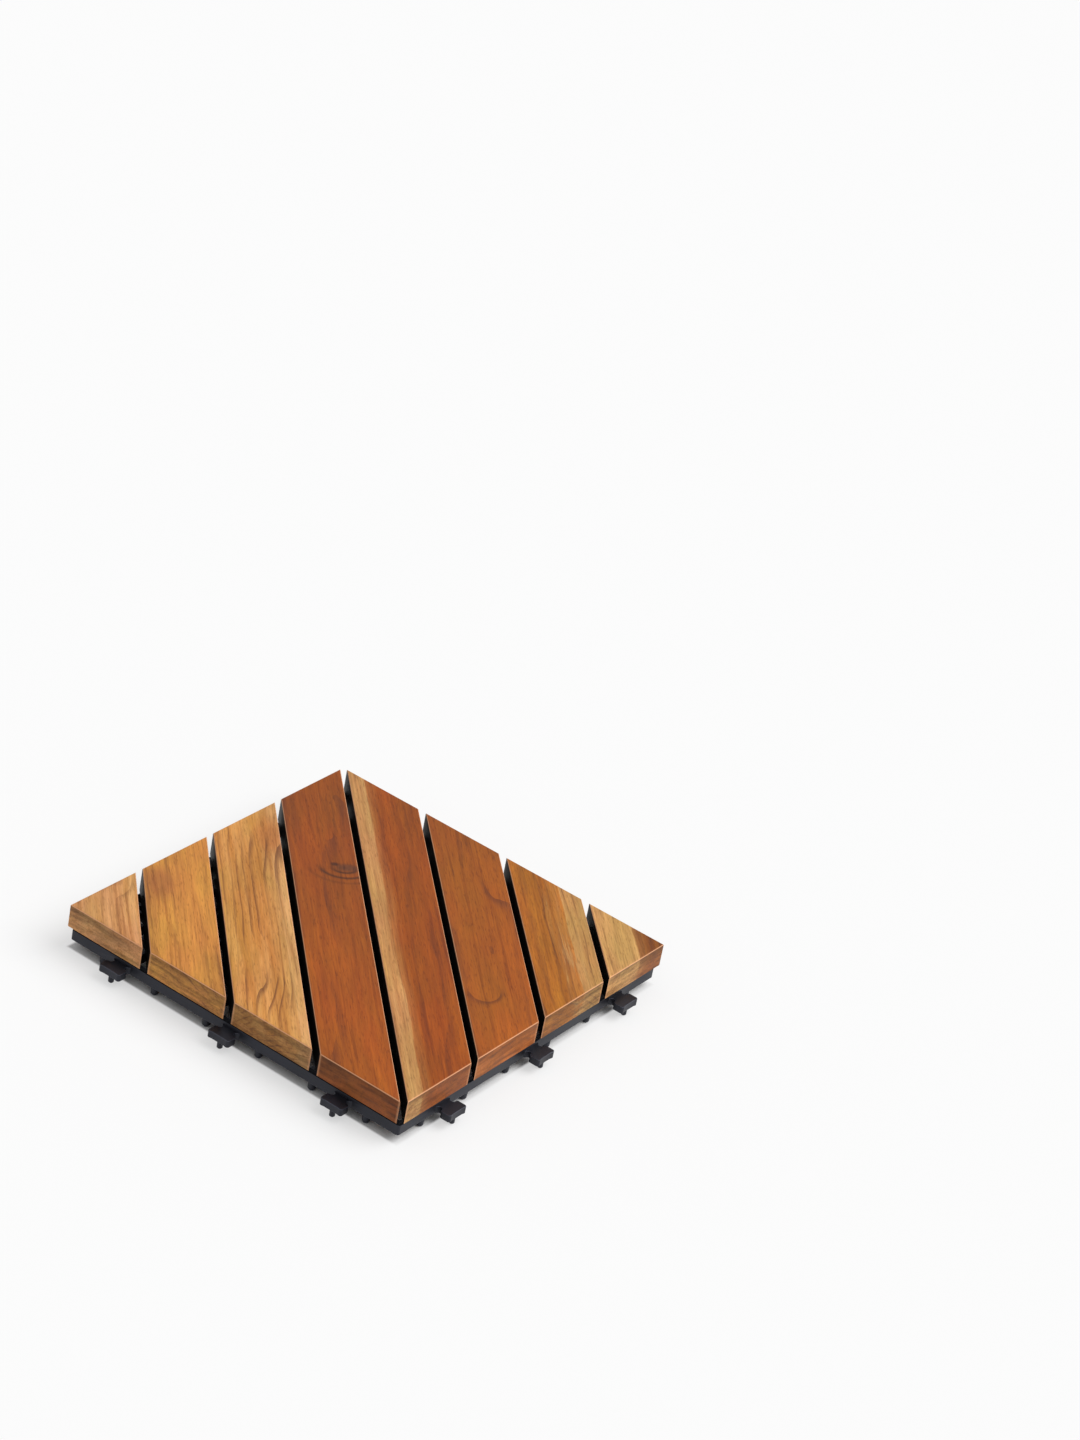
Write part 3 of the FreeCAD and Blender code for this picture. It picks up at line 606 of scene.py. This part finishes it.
# The turned shape, by radius and height: the crowned head, its seat, the plain shank, the core and the point.
screw = bmesh.new()
profile = [(2.3, -HEAD_HEIGHT), (2.9, -2.14), (3.3, -1.75), (HEAD_RADIUS, -1.2), (HEAD_RADIUS, -0.15),
           (3.35, 0), (SHANK_RADIUS, 0), (SHANK_RADIUS, PLAIN_SHANK), (CORE_RADIUS, PLAIN_SHANK + 0.4),
           (CORE_RADIUS, SCREW_LENGTH - POINT_LENGTH), (0, SCREW_LENGTH)]
rings = [ring(screw, radius, height, TURNED_SIDES) for radius, height in profile]
for lower, upper in zip(rings, rings[1:]):
    skin(screw, lower, upper)
recess_mouth = cross(screw, *RECESS_TOP, -HEAD_HEIGHT)
recess_foot = cross(screw, *RECESS_FOOT, RECESS_DEPTH - HEAD_HEIGHT)
skin(screw, recess_foot, recess_mouth)
screw.faces.new(recess_foot)
face_edges = [screw.edges.get((loop[at - 1], loop[at]))
              for loop in (rings[0], recess_mouth) for at in range(len(loop))]
bmesh.ops.triangle_fill(screw, edges=face_edges, use_beauty=True)

# The thread is one ridge wound round the core. It runs out at both ends, and down the point.
thread_turns = (SCREW_LENGTH - PLAIN_SHANK) / THREAD_PITCH
steps = int(thread_turns * THREAD_SIDES)
sections = []
for step in range(steps + 1):
    turn = step / THREAD_SIDES
    height = PLAIN_SHANK + turn * THREAD_PITCH * (1 - THREAD_FLANK / SCREW_LENGTH)
    taper = min(1.0, (SCREW_LENGTH + THREAD_FLANK - height) / POINT_LENGTH)
    crest = (CORE_RADIUS + (THREAD_RADIUS - CORE_RADIUS) * min(1.0, turn)) * taper
    root = THREAD_SUNK * CORE_RADIUS * taper
    flank = THREAD_FLANK * taper
    out = Vector((math.cos(2 * math.pi * turn), math.sin(2 * math.pi * turn), 0))
    sections.append([screw.verts.new(out * radius + Vector((0, 0, height + rise)))
                     for radius, rise in ((root, -flank), (crest, 0), (root, flank))])
for lower, upper in zip(sections, sections[1:]):
    skin(screw, lower, upper)
screw.faces.new(sections[0])
screw.faces.new(sections[-1])
bmesh.ops.recalc_face_normals(screw, faces=screw.faces)
one_screw = bpy.data.meshes.new("one_screw")
screw.to_mesh(one_screw)
screw.free()

# Each slat has a screw near either end, and the four long ones have a third in the middle.
driven = bmesh.new()
lines = [((order + 0.5) * SLAT_PITCH, END_DISTANCE) for order in range(3)]
lines.append((CORNER_LINE, CORNER_END_DISTANCE))
for order, (line, end_distance) in enumerate(lines):
    reach = HALF_DIAGONAL - line - end_distance
    for side in (-1, 1):
        for along in (-reach, 0, reach) if order < 2 else (-reach, reach):
            across = side * line
            place = ((across - along) / math.sqrt(2), (across + along) / math.sqrt(2), SEAT_LEVEL)
            copied = one_screw.copy()
            copied.transform(Matrix.Scale(MM, 4) @ Matrix.Translation(place)
                             @ Matrix.Rotation(DRIVER_STOP * len(driven.verts), 4, "Z"))
            driven.from_mesh(copied)
screws = bpy.data.objects.new("screws", bpy.data.meshes.new("screws"))
driven.to_mesh(screws.data)
driven.free()
bpy.context.collection.objects.link(screws)

# Steel, zinc-plated: a pale grey satin metal with faint cloudy marks from the plating bath and the driver.
ZINC = "#b9bcbd"
ZINC_DULL = "#8f9394"
ZINC_ROUGHNESS = 0.32
DULLER = 0.12
GLOSSIER = 0.1
PLATING_MARK = 1.5 * MM

zinc, surface = new_material("zinc_plated_steel")
marks = add(zinc, "TexNoise", {"Vector": add(zinc, "TexCoord").outputs["Object"], "Scale": 1 / PLATING_MARK,
                               "Detail": 4.0})
tone = add(zinc, "ValToRGB", {"Fac": marks.outputs["Fac"]})
colour_steps(tone, [(0.35, ZINC_DULL), (0.65, ZINC)])
dull = add(zinc, "MapRange", {
    "Value": marks.outputs["Fac"], "To Min": ZINC_ROUGHNESS + DULLER, "To Max": ZINC_ROUGHNESS - GLOSSIER})
steel = add(zinc, "BsdfPrincipled", {"Base Color": tone.outputs["Color"], "Metallic": 1.0,
                                     "Roughness": dull.outputs["Result"]})
zinc.node_tree.links.new(steel.outputs["BSDF"], surface.inputs["Surface"])
dress(screws, zinc)
screws.data.shade_smooth()
screws.data.set_sharp_from_angle(angle=SHARP_ANGLE)
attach(screws, "root")
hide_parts("slat_screws")

# Stage
# The tile lies on a plain white floor under a broad soft light from the right and behind, so the
# front-left faces are in shade.

FLOOR_SIZE = 16
FLOOR_WHITE = 0.9
FLOOR_LIFT = 0.55
LIFT_EDGE = 2 * MM
TILE_HALF = 150 * MM
SKY = 0.5
SUN = 2.2
SUN_WIDTH = 50
SUN_FROM = Vector((0.49, 0.41, 0.77))

bpy.ops.mesh.primitive_plane_add(size=FLOOR_SIZE)
floor = bpy.context.object
floor.name = "floor"


def shows_backdrop(owner):
    """1 for the rays that see the backdrop itself: the camera's, and those that metal or glass turns."""
    rays = add(owner, "LightPath")
    seen = rays.outputs["Is Camera Ray"]
    for turned in ("Is Glossy Ray", "Is Transmission Ray"):
        seen = add(owner, "Math", {
            "Value": seen, "Value_001": rays.outputs[turned]}, operation="MAXIMUM").outputs["Value"]
    return seen


# Paper, matt and white. Round the tile it is lifted towards pure white, which leaves a light shadow, and
# under the tile it isn't. It can't be seen from below.
paper, surface = new_material("white_paper")
matt = add(paper, "BsdfDiffuse", {"Color": (FLOOR_WHITE, FLOOR_WHITE, FLOOR_WHITE, 1)})
white = add(paper, "Emission", {"Color": (1, 1, 1, 1), "Strength": 1.0})
where = add(paper, "VectorMath", {"Vector": add(paper, "TexCoord").outputs["Object"]}, operation="ABSOLUTE")
parts = add(paper, "SeparateXYZ", {"Vector": where.outputs["Vector"]})
farthest = add(paper, "Math", {
    "Value": parts.outputs["X"], "Value_001": parts.outputs["Y"]}, operation="MAXIMUM")
clear = add(paper, "MapRange", {
    "Value": farthest.outputs["Value"], "From Min": TILE_HALF - LIFT_EDGE, "From Max": TILE_HALF,
    "To Max": FLOOR_LIFT})
lift = add(paper, "Math", {"Value": shows_backdrop(paper), "Value_001": clear.outputs["Result"]},
           operation="MULTIPLY")
lifted = add(paper, "MixShader", {"Fac": lift.outputs["Value"], "Shader": matt.outputs["BSDF"],
                                  "Shader_001": white.outputs["Emission"]})
one_sided = add(paper, "MixShader", {"Fac": add(paper, "NewGeometry").outputs["Backfacing"],
                                     "Shader": lifted.outputs["Shader"],
                                     "Shader_001": add(paper, "BsdfTransparent").outputs["BSDF"]})
paper.node_tree.links.new(one_sided.outputs["Shader"], surface.inputs["Surface"])
dress(floor, paper)

world = bpy.data.worlds.new("studio")
bpy.context.scene.world = world
world.use_nodes = True
world.node_tree.nodes.clear()
sky = add(world, "Background", {"Color": (1, 1, 1, 1), "Strength": SKY})
backdrop = add(world, "Background", {"Color": (1, 1, 1, 1), "Strength": 1.0})
choice = add(world, "MixShader", {"Fac": shows_backdrop(world), "Shader": sky.outputs["Background"],
                                  "Shader_001": backdrop.outputs["Background"]})
add(world, "OutputWorld", {"Surface": choice.outputs["Shader"]})

sun = bpy.data.objects.new("sun", bpy.data.lights.new("sun", "SUN"))
sun.data.energy = SUN
sun.data.angle = math.radians(SUN_WIDTH)
sun.rotation_euler = SUN_FROM.to_track_quat("Z", "Y").to_euler()
bpy.context.collection.objects.link(sun)

# Camera
# It stands in front and to the right of the tile, looks down on it through a long lens, and is turned a
# little about its own axis, as the tile is in the picture.

CAMERA_AT = Vector((1.2857, -1.9359, 1.5277))
LOOKS_AT = Vector((-0.1001, 0.3325, 0.035))
CAMERA_ROLL = 11.25
LENS = 97.8

camera = bpy.data.objects.new("camera", bpy.data.cameras.new("camera"))
camera.data.lens = LENS
camera.data.sensor_width = 36
camera.location = CAMERA_AT
aim = (LOOKS_AT - CAMERA_AT).to_track_quat("-Z", "Y") @ Quaternion((0, 0, 1), math.radians(CAMERA_ROLL))
camera.rotation_euler = aim.to_euler()
bpy.context.collection.objects.link(camera)
bpy.context.scene.camera = camera
bpy.context.scene.view_settings.view_transform = "Standard"
